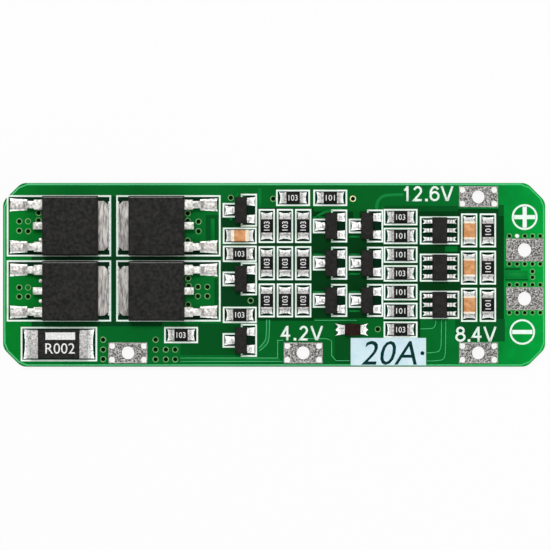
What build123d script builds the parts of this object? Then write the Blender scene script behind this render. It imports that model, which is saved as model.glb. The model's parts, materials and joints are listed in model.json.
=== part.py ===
from build123d import *
import os

# Battery management board
# A protection board for a three-cell lithium battery: a green laminate with chipped corners that
# carries four power transistors, a current shunt, three identical rows of small parts (one row for
# each cell), and six tinned pads that the cells and the load are soldered to.
# Millimetres. The origin is under the middle of the laminate, +X runs along it to the output pads,
# +Z points up from the bare side to the side with the parts.
#
# The parts stand in columns along X and in rows along Y. Every part has a court, the rectangle that
# its printed frame fills, and the laminate is as long as its courts and the gaps between them.

# Laminate
board_thickness = 1.0
corner_cut = 2.0
corner_bend = 0.9

# Solder, print and tin on the laminate
solder_film = 0.04
print_thickness = 0.02
print_line = 0.18
tin_thickness = 0.05
barrel_wall = 0.06
barrel_sides = 12
fillet_climb = 0.8
fillet_hollow = 0.3

# Power transistors: moulded body, drain tab, two formed leads and a cropped middle lead
power_length = 6.1
power_width = 6.5
power_height = 2.3
power_seam = 1.2
power_draft = 7.0
power_recess = 0.06
tab_reach = 1.08
tab_width = 5.4
tab_thickness = 0.5
tab_corner = 0.45
tab_inside = 4.4
lead_reach = 3.5
lead_width = 0.8
lead_thickness = 0.5
lead_pitch = 2.29
lead_foot = 1.7
lead_rise_run = 0.35
lead_bend = 0.6
lead_root = 0.6
shoulder_width = 1.1
shoulder_length = 0.9
stub_length = 1.0
power_lead_margin = 0.4
power_tab_margin = 0.28
power_frame_margin = 0.08
lead_joint_width = 1.45
lead_joint_length = 2.1
lead_joint_height = 0.28
lead_joint_taper = 45.0
tab_joint_toe = 0.08

# Shunt: a resistive strip in black moulding with a wrapped terminal at each end
shunt_length = 6.3
shunt_width = 3.1
shunt_height = 0.75
shunt_terminal = 0.9
shunt_terminal_plate = 0.08
shunt_toe = 0.72
shunt_frame_length = 8.32
shunt_frame_width = 3.75

# Chip resistors and capacitors
chip_length = 2.0
chip_width = 1.25
resistor_height = 0.5
resistor_terminal = 0.3
capacitor_height = 0.85
capacitor_terminal = 0.3
terminal_relief = 0.03
chip_toe = 0.6
chip_joint_width = 1.3
chip_joint_inner = 0.3
chip_frame_margin_x = 0.245
chip_frame_margin_y = 0.26

# Balance thermistor, a small dark chip with no printed frame
thermistor_length = 1.7
thermistor_width = 1.26
thermistor_height = 0.7
thermistor_terminal = 0.3
thermistor_toe = 0.9

# Small transistors with three leads and cell monitors with six
small_length = 2.85
small_width = 1.3
small_height = 1.05
monitor_width = 1.6
monitor_height = 1.1
mould_draft = 8.0
mould_seam = 0.5
mould_gap = 0.06
wire_thickness = 0.13
wire_width = 0.42
wire_reach = 0.55
wire_foot = 0.3
wire_slope_run = 0.12
wire_root = 0.2
small_pitch = 0.95
monitor_pitch = 0.95
single_toe = 0.55
twin_toe = 0.33
small_joint_inner = 0.1
single_joint_width = 1.12
twin_joint_width = 0.96
monitor_joint_width = 0.5
monitor_toe = 0.5
single_bracket_margin = 0.05
twin_bracket_margin = 0.05
single_bracket_half = 0.79
single_bracket_end = 0.65
twin_bracket_half = 1.79
monitor_frame_margin_x = 0.3
monitor_frame_margin_y = 0.1

# Tinned pads with a wire hole
tap_length = 4.24
tap_width = 2.28
corner_hole_wall = 0.1
tap_bore = 1.4
corner_hole = 0.68
corner_hole_inset = 0.38
corner_hole_sides = 6
output_length = 4.05
output_width = 2.5
output_bore = 1.5
output_pitch = 5.3
output_offset = 0.05
via_bore = 0.38
via_sides = 6
via_pitch = 0.84
via_row_offset = 1.52
via_columns = 2
bridge_via_rise = 0.32

# Printed block that the rating stands on
rating_block_length = 8.2
rating_block_shift = 1.33
rating_block_gap = 0.02
rating_block_margin = 0.145

# Gaps between the columns, from left to right
left_gap = 0.4
power_column_gap = 0.55
sense_gap = 0.22
grid_gap = 0.18
chip_gap = 0.21
driver_gap = 0.17
feed_gap = 0.05
monitor_gap = 0.25
filter_gap = 0.27
output_gap = 1.11
right_gap = 0.2

# Gaps between the rows
shunt_row_gap = 0.585
power_row_gap = 0.42
power_top_gap = 1.34
top_row_gap = 0.74
top_cell_gap = 0.33
cell_row_gap = 0.36
feed_row_gap = 0.27
monitor_drop = 0.48
pad_edge_gap = 0.36
sense_top_gap = 1.18
sense_bottom_gap = 1.08
sense_row_gap = 0.1
shunt_via_gap = 1.22
bias_gap = 2.45
thermistor_gap = 1.63

cells = 3
feed_resistors = 7


# Courts and stations

def centres(start, courts):
    """The centre of each court in a line, for courts given as pairs of a gap and a length."""
    places = []
    edge = start
    for gap, length in courts:
        edge += gap
        places.append(edge + length / 2)
        edge += length
    return places


power_court_length = (power_length + lead_reach + tab_reach
                      + power_lead_margin + power_tab_margin)
power_court_width = power_width + 2 * power_frame_margin
power_offset = (lead_reach + power_lead_margin - tab_reach - power_tab_margin) / 2
chip_court_length = chip_length + 2 * (chip_toe + chip_frame_margin_x)
chip_court_width = chip_width + 2 * chip_frame_margin_y
small_lead_reach = small_width / 2 + wire_reach
small_left = small_lead_reach + single_toe + single_bracket_margin + print_line
small_right = small_lead_reach + twin_toe + twin_bracket_margin + print_line
small_court = small_left + small_right
small_offset = (small_left - small_right) / 2
small_court_width = 2 * twin_bracket_half
monitor_half = monitor_width / 2 + wire_reach + monitor_toe
monitor_court = 2 * (monitor_half + monitor_frame_margin_x)
monitor_court_width = small_length + 2 * monitor_frame_margin_y

columns = [
    (left_gap, power_court_length),
    (power_column_gap, power_court_length),
    (sense_gap, small_court),
    (grid_gap, chip_court_width),
    (chip_gap, chip_court_width),
    (chip_gap, chip_court_width),
    (driver_gap, small_court),
    (driver_gap, small_court),
    (feed_gap, chip_court_length),
    (monitor_gap, monitor_court),
    (grid_gap, chip_court_width),
    (filter_gap, chip_court_width),
    (output_gap, output_length),
]
board_length = sum(gap + length for gap, length in columns) + right_gap
board_width = (2 * shunt_row_gap + shunt_frame_width + 2 * power_court_width
               + power_row_gap + power_top_gap)
left_edge = -board_length / 2
bottom_edge = -board_width / 2
top_edge = board_width / 2
stations = centres(left_edge, columns)
(power_left_x, power_right_x, sense_x, *grid_x, driver_a_x, driver_b_x,
 feed_x, monitor_x, capacitor_x, filter_x, output_x) = stations

shunt_y, power_low_y, power_high_y = centres(bottom_edge, [
    (shunt_row_gap, shunt_frame_width),
    (shunt_row_gap, power_court_width),
    (power_row_gap, power_court_width),
])
top_y = top_edge - top_row_gap - chip_court_width / 2
cells_top = top_y - chip_court_width / 2 - top_cell_gap
cell_pitch = chip_court_length + cell_row_gap
cell_y = [cells_top - chip_court_length / 2 - row * cell_pitch for row in range(cells)]
feed_pitch = chip_court_width + feed_row_gap
feed_y = [cells_top - chip_court_width / 2 - row * feed_pitch for row in range(feed_resistors)]
pad_low_y = bottom_edge + pad_edge_gap + tap_width / 2
pad_high_y = top_edge - pad_edge_gap - tap_width / 2

sense_rows_high = centres(sense_top_gap - top_edge, [
    (0, small_court_width),
    (sense_row_gap, chip_court_width),
    (2 * sense_row_gap, chip_court_width),
    (sense_row_gap / 2, small_court_width),
])
sense_high_y = [-y for y in sense_rows_high]
sense_low_y = centres(bottom_edge + sense_bottom_gap, [
    (0, small_court_width),
    (sense_row_gap, chip_court_width),
])

power_places = [
    (power_left_x + power_offset, power_high_y, 0),
    (power_left_x + power_offset, power_low_y, 0),
    (power_right_x - power_offset, power_high_y, 180),
    (power_right_x - power_offset, power_low_y, 180),
]
shunt_place = (power_left_x, shunt_y, 0)
tap_negative_x = power_left_x + shunt_frame_length / 2 + shunt_via_gap + tap_length / 2
bias_x = power_right_x + power_court_length / 2 - bias_gap - chip_court_length / 2
bias_y = shunt_y + shunt_frame_width / 2 - chip_court_width / 2
top_chip_x = driver_a_x + small_court / 2 - chip_court_length / 2
thermistor_x = feed_x - chip_court_length / 2 - thermistor_gap - thermistor_length / 2 - thermistor_toe
tap_right_x = (capacitor_x + filter_x) / 2

resistor_places = {}
for row, y in enumerate(cell_y, start=1):
    for column, x in enumerate(grid_x, start=1):
        resistor_places[f"gate_resistor_{row}_{column}"] = (x, y, 90)
    resistor_places[f"filter_resistor_{row}"] = (filter_x, y - monitor_drop, 90)
for row, y in enumerate(feed_y, start=1):
    resistor_places[f"feed_resistor_{row}"] = (feed_x, y, 0)
resistor_places["top_resistor_1"] = (top_chip_x - chip_court_length - cell_row_gap, top_y, 0)
resistor_places["top_resistor_2"] = (top_chip_x, top_y, 0)
resistor_places["sense_resistor_1"] = (sense_x, sense_high_y[2], 0)
resistor_places["sense_resistor_2"] = (sense_x, sense_low_y[1], 0)
resistor_places["bias_resistor"] = (bias_x, bias_y, 0)

capacitor_places = {"sense_capacitor": (sense_x, sense_high_y[1], 0)}
for row, y in enumerate(cell_y, start=1):
    capacitor_places[f"cell_capacitor_{row}"] = (capacitor_x, y - monitor_drop, 90)

small_places = {
    "sense_transistor_1": (sense_x + small_offset, sense_high_y[0], 0),
    "sense_transistor_2": (sense_x + small_offset, sense_high_y[3], 0),
    "sense_transistor_3": (sense_x + small_offset, sense_low_y[0], 0),
}
monitor_places = {}
for row, y in enumerate(cell_y, start=1):
    small_places[f"driver_transistor_{row}_a"] = (driver_a_x + small_offset, y, 0)
    small_places[f"driver_transistor_{row}_b"] = (driver_b_x + small_offset, y, 0)
    monitor_places[f"cell_monitor_{row}"] = (monitor_x, y - monitor_drop, 0)
thermistor_place = (thermistor_x, feed_y[-1], 0)

power_side = power_length / 2
tap_lower_length = tap_length - 2 * (corner_hole_inset + corner_hole / 2 + corner_hole_wall)
tap_places = {
    "pad_tap_negative": (tap_negative_x, pad_low_y),
    "pad_tap_low": (grid_x[-1], pad_low_y),
    "pad_tap_middle": (tap_right_x, pad_low_y),
    "pad_tap_high": (tap_right_x, pad_high_y),
}
output_places = {
    "pad_output_positive": (output_x, output_offset + output_pitch / 2),
    "pad_output_negative": (output_x, output_offset - output_pitch / 2),
}


# Vias: a row of small plated holes on each side of an output pad, and two more between the pads

via_places = [(output_x + via_pitch, output_offset + rise) for rise in (-bridge_via_rise, bridge_via_rise)]
for x, y in output_places.values():
    for row_side in (1, -1):
        for column in range(-via_columns, via_columns + 1):
            via_places.append((x + column * via_pitch, y + row_side * via_row_offset))


# Helpers for placing profiles

solder_top = board_thickness + solder_film


def seat(place, height=solder_top):
    """A level plane at a part's place, with x along the part and the part's foot at its origin."""
    x, y, turn = place
    return Plane(Location((x, y, height), (0, 0, turn)))


def upright(place, side=1, across=0.0):
    """A standing plane through a part: x runs out of the part on one side, y runs up."""
    level = seat(place)
    outward = level.x_dir * side
    return Plane(
        origin=level.from_local_coords((0, across, 0)),
        x_dir=outward,
        z_dir=outward.cross(level.z_dir),
    )


def turned(places):
    """Locations on the laminate's face for a list of places."""
    return [Location((x, y, 0), (0, 0, turn)) for x, y, turn in places]


def corner_holes(x, y):
    """The centres of the four corner holes of a tap pad."""
    reach_x = tap_length / 2 - corner_hole_inset
    reach_y = tap_width / 2 - corner_hole_inset
    return [(x + i * reach_x, y + j * reach_y) for i in (-1, 1) for j in (-1, 1)]


def finish_piece(piece, name):
    piece.part.label = name
    export_step(piece.part, f"parts/{name}.step")


os.makedirs("parts", exist_ok=True)


# Laminate: wire holes, corner holes and vias go through it, and each lower pad has a shallow seat

with BuildSketch() as outline:
    Rectangle(board_length, board_width)
    chamfer(outline.vertices(), corner_cut)
    fillet(outline.vertices(), corner_bend)

with BuildPart() as circuit_board:
    with BuildSketch(Plane.XY):
        add(outline.sketch)
        with Locations(*via_places):
            RegularPolygon(via_bore / 2, via_sides, mode=Mode.SUBTRACT)
        for x, y in tap_places.values():
            with Locations((x, y)):
                RegularPolygon(tap_bore / 2 + barrel_wall, barrel_sides, mode=Mode.SUBTRACT)
            with Locations(*corner_holes(x, y)):
                RegularPolygon(corner_hole / 2, corner_hole_sides, mode=Mode.SUBTRACT)
        with Locations(*output_places.values()):
            RegularPolygon(output_bore / 2 + barrel_wall, barrel_sides, mode=Mode.SUBTRACT)
    extrude(amount=board_thickness)
    with BuildSketch(Plane.XY):
        with Locations(*tap_places.values()):
            Rectangle(tap_lower_length, tap_width)
        with Locations(*output_places.values()):
            Rectangle(output_length, output_width)
    extrude(amount=tin_thickness, mode=Mode.SUBTRACT)
finish_piece(circuit_board, "circuit_board")


# Tinned pads: an upper and a lower land joined by the plated wall of the wire hole

def tinned_pad(name, centre, length, lower_length, width, bore, small_holes):
    with BuildPart() as pad:
        with BuildSketch(Plane.XY.offset(board_thickness)):
            with Locations(centre):
                Rectangle(length, width)
            if small_holes:
                with Locations(*small_holes):
                    RegularPolygon(corner_hole / 2, corner_hole_sides, mode=Mode.SUBTRACT)
        extrude(amount=tin_thickness)
        with BuildSketch(Plane.XY):
            with Locations(centre):
                Rectangle(lower_length, width)
        extrude(amount=tin_thickness)
        with BuildSketch(Plane.XY):
            with Locations(centre):
                RegularPolygon(bore / 2 + barrel_wall, barrel_sides)
        extrude(amount=board_thickness)
        with BuildSketch(Plane.XY):
            with Locations(centre):
                Circle(bore / 2)
        extrude(amount=board_thickness + tin_thickness, mode=Mode.SUBTRACT)
    finish_piece(pad, name)


for name, centre in tap_places.items():
    tinned_pad(name, centre, tap_length, tap_lower_length, tap_width, tap_bore, corner_holes(*centre))
for name, centre in output_places.items():
    tinned_pad(name, centre, output_length, output_length, output_width, output_bore, [])


# Power transistors: the drain plate and the middle lead are one stamping, the outer leads are two more

def bent_lead(inner, tip, foot, rise_run, exit_height, thickness):
    """The side view of a formed lead: out of the moulding, down a slope, and out along the solder."""
    heel = tip - foot
    knee = heel - rise_run
    slope = Vector(rise_run, -exit_height)
    lean = thickness * (slope.length - rise_run) / exit_height
    return [
        (inner, exit_height),
        (knee, exit_height),
        (heel, 0),
        (tip, 0),
        (tip, thickness),
        (heel + lean, thickness),
        (knee + lean, exit_height + thickness),
        (inner, exit_height + thickness),
    ]


def power_leads(place):
    lead_underside = power_seam - lead_thickness
    plate_end = tab_inside - power_side
    plate_length = tab_inside + tab_reach
    lead_tip = power_side + lead_reach
    lead_line = bent_lead(power_side - lead_root, lead_tip, lead_foot, lead_rise_run,
                          lead_underside, lead_thickness)
    with BuildPart() as leads:
        with BuildSketch(seat(place)) as plate:
            with Locations((power_side + tab_reach - plate_length / 2, 0)):
                Rectangle(plate_length, tab_width)
            chamfer(plate.vertices().sort_by(Axis.X)[-2:], tab_corner)
        extrude(amount=tab_thickness)
        with BuildSketch(upright(place, -1)):
            Polygon(
                (plate_end - lead_thickness, tab_thickness),
                (plate_end, tab_thickness),
                (plate_end, lead_underside),
                (power_side + stub_length, lead_underside),
                (power_side + stub_length, lead_underside + lead_thickness),
                (plate_end - lead_thickness, lead_underside + lead_thickness),
                align=None,
            )
        extrude(amount=lead_width / 2, both=True)
        outer_leads = [upright(place, -1, across) for across in (-lead_pitch, lead_pitch)]
        with BuildSketch(*outer_leads) as side_view:
            Polygon(*lead_line, align=None)
            bends = side_view.vertices().filter_by_position(Axis.X, power_side, lead_tip, (False, False))
            fillet([bends.sort_by(Axis.Y)[0], bends.sort_by(Axis.Y)[-1]], lead_bend)
        extrude(amount=lead_width / 2, both=True)
        with BuildSketch(*outer_leads):
            shoulder = lead_root + shoulder_length
            with Locations((power_side - lead_root + shoulder / 2, power_seam - lead_thickness / 2)):
                Rectangle(shoulder, lead_thickness)
        extrude(amount=shoulder_width / 2, both=True)
    return leads


def power_body(place, leads):
    with BuildPart() as body:
        with BuildSketch(seat(place).offset(power_seam)) as seam:
            Rectangle(power_length, power_width)
        extrude(seam.sketch, amount=power_height - power_seam, taper=power_draft)
        extrude(seam.sketch, amount=power_recess - power_seam, taper=power_draft)
        add(leads.part, mode=Mode.SUBTRACT)
    return body


power_lead_sets = []
for number, place in enumerate(power_places, start=1):
    leads = power_leads(place)
    finish_piece(leads, f"power_transistor_{number}_leads")
    finish_piece(power_body(place, leads), f"power_transistor_{number}_body")
    power_lead_sets.append(leads)


# Shunt: two wrapped terminals on the ends of a flat core, with a raised black coat between them

with BuildPart() as shunt_terminals:
    with BuildSketch(*[upright(shunt_place, side) for side in (1, -1)]):
        with Locations((shunt_length / 2 - shunt_terminal / 2, shunt_height / 2)):
            Rectangle(shunt_terminal, shunt_height)
            with Locations((-shunt_terminal_plate / 2, 0)):
                Rectangle(shunt_terminal - shunt_terminal_plate, shunt_height - 2 * shunt_terminal_plate,
                          mode=Mode.SUBTRACT)
    extrude(amount=shunt_width / 2, both=True)
finish_piece(shunt_terminals, "shunt_terminals")

with BuildPart() as shunt_body:
    with BuildSketch(upright(shunt_place)):
        with Locations((0, shunt_height / 2)):
            Rectangle(shunt_length - 2 * shunt_terminal_plate, shunt_height - 2 * shunt_terminal_plate)
            Rectangle(shunt_length - 2 * shunt_terminal, shunt_height)
    extrude(amount=shunt_width / 2, both=True)
finish_piece(shunt_body, "shunt_body")


# Chips: a ceramic bar with a raised terminal wrapped round each end

def chip(name, place, length, width, height, terminal):
    with BuildPart() as piece:
        with BuildSketch(upright(place)):
            with Locations((0, (height - terminal_relief) / 2)):
                Rectangle(length, height - terminal_relief)
            with Locations((0, height / 2)):
                with GridLocations(length - terminal, 0, 2, 1):
                    Rectangle(terminal, height)
        extrude(amount=width / 2, both=True)
    finish_piece(piece, name)


for name, place in resistor_places.items():
    chip(name, place, chip_length, chip_width, resistor_height, resistor_terminal)
for name, place in capacitor_places.items():
    chip(name, place, chip_length, chip_width, capacitor_height, capacitor_terminal)
chip("thermistor_chip", thermistor_place, thermistor_length, thermistor_width,
     thermistor_height, thermistor_terminal)


# Small moulded parts with formed leads: one lead and a pair, or three on each side

def moulded_part(name, place, width, height, lead_sides):
    exit_height = mould_seam - wire_thickness
    wire_line = bent_lead(width / 2 - wire_root, width / 2 + wire_reach, wire_foot,
                          wire_slope_run, exit_height, wire_thickness)
    with BuildPart() as piece:
        with BuildSketch(seat(place).offset(mould_seam)) as seam:
            Rectangle(width, small_length)
        extrude(seam.sketch, amount=height - mould_seam, taper=mould_draft)
        extrude(seam.sketch, amount=mould_gap - mould_seam, taper=mould_draft)
        with BuildSketch(*[upright(place, side, across) for side, across in lead_sides]):
            Polygon(*wire_line, align=None)
        extrude(amount=wire_width / 2, both=True)
    finish_piece(piece, name)


small_leads = [(-1, 0), (1, small_pitch), (1, -small_pitch)]
monitor_leads = [(side, row * monitor_pitch) for side in (1, -1) for row in (-1, 0, 1)]
for name, place in small_places.items():
    moulded_part(name, place, small_width, small_height, small_leads)
for name, place in monitor_places.items():
    moulded_part(name, place, monitor_width, monitor_height, monitor_leads)


# Solder: a film under each terminal and a hollow fillet up its end

def both_ends(places):
    return [upright(place, side) for place in places for side in (1, -1)]


def beside(places, lead_sides):
    return [upright(place, side, across) for place in places for side, across in lead_sides]


# Each row: where, from under the terminal, to its end face, out to the toe, up the face, across
fillets = [
    (both_ends(resistor_places.values()), chip_length / 2 - chip_joint_inner, chip_length / 2,
     chip_toe, resistor_height * fillet_climb, chip_joint_width),
    (both_ends(capacitor_places.values()), chip_length / 2 - chip_joint_inner, chip_length / 2,
     chip_toe, capacitor_height * fillet_climb, chip_joint_width),
    (both_ends([thermistor_place]), thermistor_length / 2 - chip_joint_inner, thermistor_length / 2,
     thermistor_toe, thermistor_height * fillet_climb, thermistor_width),
    (both_ends([shunt_place]), shunt_length / 2 - shunt_terminal, shunt_length / 2,
     shunt_toe, shunt_height * fillet_climb, shunt_width),
    (beside(small_places.values(), small_leads[:1]), small_width / 2 + small_joint_inner,
     small_lead_reach, single_toe, wire_thickness, single_joint_width),
    (beside(small_places.values(), small_leads[1:]), small_width / 2 + small_joint_inner,
     small_lead_reach, twin_toe, wire_thickness, twin_joint_width),
    (beside(monitor_places.values(), monitor_leads), monitor_width / 2 + small_joint_inner,
     monitor_width / 2 + wire_reach, monitor_toe, wire_thickness, monitor_joint_width),
    (beside(power_places, [(1, 0)]), power_side - tab_inside, power_side + tab_reach,
     tab_joint_toe, tab_thickness * fillet_climb, tab_width),
]
lead_joint_x = -(power_side + lead_reach - lead_foot / 2)

with BuildPart() as solder_joints:
    for planes, inner, face, toe, climb, width in fillets:
        hollow = [(face + toe * fillet_hollow, climb * fillet_hollow)] if climb > wire_thickness else []
        with BuildSketch(*planes):
            Polygon(
                (inner, -solder_film),
                (face + toe, -solder_film),
                *hollow,
                (face, climb),
                (face, 0),
                (inner, 0),
                align=None,
            )
        extrude(amount=width / 2, both=True, clean=False)
    for place in power_places:
        with BuildSketch(seat(place, board_thickness)):
            with Locations((lead_joint_x, -lead_pitch), (lead_joint_x, lead_pitch)):
                Rectangle(lead_joint_length, lead_joint_width)
        extrude(amount=lead_joint_height, taper=lead_joint_taper, clean=False)
    for leads in power_lead_sets:
        add(leads.part, mode=Mode.SUBTRACT, clean=False)
finish_piece(solder_joints, "solder_joints")


# Print: a frame round each court, the brackets of the small transistors and the rating block

rating_block_top = feed_y[-1] - chip_court_width / 2 - rating_block_gap
rating_block_bottom = bottom_edge + rating_block_margin
chip_places = list(resistor_places.values()) + list(capacitor_places.values())
power_courts = [(power_left_x, power_low_y, 0), (power_left_x, power_high_y, 0),
                (power_right_x, power_low_y, 0), (power_right_x, power_high_y, 0)]
frames = [
    (chip_places, chip_court_length, chip_court_width),
    (power_courts, power_court_length, power_court_width),
    ([shunt_place], shunt_frame_length, shunt_frame_width),
    (list(monitor_places.values()), monitor_court, monitor_court_width),
]
with BuildPart() as legend_print:
    with BuildSketch(Plane.XY.offset(board_thickness)):
        for places, length, width in frames:
            with Locations(*turned(places)):
                Rectangle(length, width)
                Rectangle(length - 2 * print_line, width - 2 * print_line, mode=Mode.SUBTRACT)
        add(outline.sketch, mode=Mode.INTERSECT)
    extrude(amount=print_thickness)
    with BuildSketch(Plane.XY.offset(board_thickness)):
        with Locations(*turned(small_places.values())):
            with Locations((-(small_left + single_bracket_end) / 2, 0)):
                Rectangle(small_left - single_bracket_end, 2 * single_bracket_half)
            with Locations((-(small_left - print_line + single_bracket_end) / 2, 0)):
                Rectangle(small_left - print_line - single_bracket_end,
                          2 * (single_bracket_half - print_line), mode=Mode.SUBTRACT)
            with Locations((small_right / 2, 0)):
                Rectangle(small_right, 2 * twin_bracket_half)
            with Locations(((small_right - print_line) / 2, 0)):
                Rectangle(small_right - print_line, 2 * (twin_bracket_half - print_line),
                          mode=Mode.SUBTRACT)
    extrude(amount=print_thickness)
    with BuildSketch(Plane.XY.offset(board_thickness)):
        with Locations((feed_x - rating_block_shift, (rating_block_top + rating_block_bottom) / 2)):
            Rectangle(rating_block_length, rating_block_top - rating_block_bottom)
    extrude(amount=print_thickness)
finish_piece(legend_print, "legend_print")
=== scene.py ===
# %% [markdown]
# # A battery management board
# The imported model is the frame that everything here stands on. Each node of it has its real size and
# place, so a piece that stands for a node takes its place from that node's box and is never fitted by
# eye.

# %% Load the frame
import json
import math

import bpy
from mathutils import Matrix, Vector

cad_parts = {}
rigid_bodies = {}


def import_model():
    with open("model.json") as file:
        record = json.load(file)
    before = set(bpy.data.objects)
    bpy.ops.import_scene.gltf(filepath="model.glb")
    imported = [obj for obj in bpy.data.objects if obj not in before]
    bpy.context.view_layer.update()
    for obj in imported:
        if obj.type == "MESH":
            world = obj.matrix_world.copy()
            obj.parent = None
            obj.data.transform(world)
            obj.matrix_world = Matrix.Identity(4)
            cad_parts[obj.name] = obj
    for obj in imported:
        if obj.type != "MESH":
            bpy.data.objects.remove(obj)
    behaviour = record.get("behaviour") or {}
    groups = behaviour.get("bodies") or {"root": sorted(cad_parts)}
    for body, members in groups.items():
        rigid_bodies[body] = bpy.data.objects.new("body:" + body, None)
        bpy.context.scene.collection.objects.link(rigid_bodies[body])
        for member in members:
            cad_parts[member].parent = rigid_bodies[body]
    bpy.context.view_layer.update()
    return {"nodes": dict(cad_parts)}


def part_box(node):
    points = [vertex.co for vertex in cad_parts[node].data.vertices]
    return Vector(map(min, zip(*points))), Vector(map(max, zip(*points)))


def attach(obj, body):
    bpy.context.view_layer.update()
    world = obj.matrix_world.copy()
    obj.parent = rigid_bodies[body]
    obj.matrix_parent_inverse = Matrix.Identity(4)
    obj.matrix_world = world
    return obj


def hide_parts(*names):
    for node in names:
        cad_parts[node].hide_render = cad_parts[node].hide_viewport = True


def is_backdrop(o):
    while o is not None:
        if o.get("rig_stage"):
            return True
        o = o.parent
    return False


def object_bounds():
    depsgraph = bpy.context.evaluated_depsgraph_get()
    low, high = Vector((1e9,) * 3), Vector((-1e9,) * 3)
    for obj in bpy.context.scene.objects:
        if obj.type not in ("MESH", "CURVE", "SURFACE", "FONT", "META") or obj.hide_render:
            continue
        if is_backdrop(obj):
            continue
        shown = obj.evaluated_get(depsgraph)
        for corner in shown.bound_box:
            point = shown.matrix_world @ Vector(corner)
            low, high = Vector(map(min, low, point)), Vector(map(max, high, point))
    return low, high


for leftover in list(bpy.data.objects):
    bpy.data.objects.remove(leftover)
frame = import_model()
MM = 0.001
BOARD_TOP = 1.0
PART_FOOT = 1.04

# %% [markdown]
# ## The camera
# The photo looks straight down, and the walls of the tall parts don't show even near its edges, so it
# was taken from far away with a long lens. A 300 mm lens half a metre above the board gives the same
# picture. Its distance is worked out from the width of board that the photo shows.

# %% Set the camera above the board
PHOTO_WIDTH = 59.85 * MM
PHOTO_CENTRE = (0.09 * MM, -0.02 * MM)
LENS = 300
SENSOR = 36
camera_height = PHOTO_WIDTH * LENS / SENSOR + BOARD_TOP * MM
bpy.ops.object.camera_add(location=(*PHOTO_CENTRE, camera_height), rotation=(0, 0, 0))
camera = bpy.context.object
camera.data.lens = LENS
camera.data.sensor_width = SENSOR
camera.data.clip_end = 10
bpy.context.scene.camera = camera
print("camera", round(camera_height, 3), "m up")

# %% [markdown]
# ## Light
# A colour renders about as it is written when the light that falls on it adds up to one. Here the sky
# gives a little over half of it from all sides, and two soft lamps give the rest, so that edges and
# solder have a bright side. Metal shows what it mirrors, so the sky that reflections see is white
# overhead and grey near the horizon, as in a studio with a white ceiling.

# %% Colours from the usual 0 to 255 scale
def tint(red, green, blue):
    """A screen colour as the linear colour that a shader takes."""
    parts = []
    for value in (red, green, blue):
        share = value / 255
        parts.append(share / 12.92 if share <= 0.04045 else ((share + 0.055) / 1.055) ** 2.4)
    return (*parts, 1.0)


print("mid grey is", round(tint(128, 128, 128)[0], 3))

# %% Helpers for shader nodes
def add_node(tree, kind, **inputs):
    """A new shader node of a kind, with the inputs that are named set."""
    made = tree.nodes.new("ShaderNode" + kind)
    for name, value in inputs.items():
        made.inputs[name].default_value = value
    return made


def wire(giver, output, taker, entry):
    """Links an output of one shader node to an input of another."""
    giver.id_data.links.new(giver.outputs[output], taker.inputs[entry])


def set_ramp(ramp, *stops):
    """Gives a colour ramp its stops, each a position and a colour."""
    elements = ramp.color_ramp.elements
    while len(elements) < len(stops):
        elements.new(0.5)
    for step, (position, colour) in enumerate(stops):
        elements[step].position = position
        elements[step].color = colour


print("shader helpers ready")

# %% The sky
SKY_LIGHT = 0.52
WHITE = (1, 1, 1, 1)
HORIZON_GREY = (0.34, 0.34, 0.34, 1)
world = bpy.data.worlds.new("studio_sky")
bpy.context.scene.world = world
world.use_nodes = True
sky = world.node_tree
sky.nodes.clear()
sky_out = add_node(sky, "OutputWorld")
sky_mix = add_node(sky, "MixShader")
sky_light = add_node(sky, "Background", Color=WHITE, Strength=SKY_LIGHT)
sky_seen = add_node(sky, "Background")
sky_path = add_node(sky, "LightPath")
sky_kind = add_node(sky, "Math")
sky_kind.operation = "MAXIMUM"
sky_place = add_node(sky, "TexCoord")
sky_parts = add_node(sky, "SeparateXYZ")
sky_ramp = add_node(sky, "ValToRGB")
set_ramp(sky_ramp, (0.08, HORIZON_GREY), (0.75, WHITE))
wire(sky_place, "Generated", sky_parts, 0)
wire(sky_parts, "Z", sky_ramp, "Fac")
sky_tone = add_node(sky, "Mix")
sky_tone.data_type = "RGBA"
tone_in = {s.name: s for s in sky_tone.inputs if s.type == "RGBA"}
tone_in["B"].default_value = WHITE
tone_out = [s for s in sky_tone.outputs if s.type == "RGBA"][0]
sky.links.new(sky_ramp.outputs["Color"], tone_in["A"])
wire(sky_path, "Is Camera Ray", sky_tone, 0)
sky.links.new(tone_out, sky_seen.inputs["Color"])
wire(sky_path, "Is Camera Ray", sky_kind, 0)
wire(sky_path, "Is Glossy Ray", sky_kind, 1)
wire(sky_kind, 0, sky_mix, "Fac")
wire(sky_light, 0, sky_mix, 1)
wire(sky_seen, 0, sky_mix, 2)
wire(sky_mix, 0, sky_out, "Surface")
print("sky light", SKY_LIGHT)

# %% Two soft lamps
def soft_lamp(name, place, size, share):
    """A square lamp aimed at the board, as bright as it takes to add a share of a full light there."""
    distance = math.dist(place, (0, 0, 0))
    lean = place[2] / distance
    bpy.ops.object.light_add(type="AREA", location=place)
    lamp = bpy.context.object
    lamp.name = name
    lamp.data.shape = "SQUARE"
    lamp.data.size = size
    lamp.data.energy = share * math.pi ** 2 * distance ** 2 / lean
    lamp.rotation_mode = "QUATERNION"
    lamp.rotation_quaternion = lamp.location.to_track_quat("Z", "Y")
    return lamp


key_lamp = soft_lamp("key_lamp", (-0.05, 0.15, 0.42), 0.09, 0.38)
fill_lamp = soft_lamp("fill_lamp", (0.30, -0.12, 0.26), 0.22, 0.12)
print("lamps", round(key_lamp.data.energy, 2), round(fill_lamp.data.energy, 2), "W")

# %% [markdown]
# ## Finishes
# Every finish is built from noise that is read at the object's own place, so that no two copies of a
# part look alike. One helper makes them all: a colour that wanders between two tones, a fine grain
# that tilts the surface, and an even roughness that is set on the shader itself.

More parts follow.
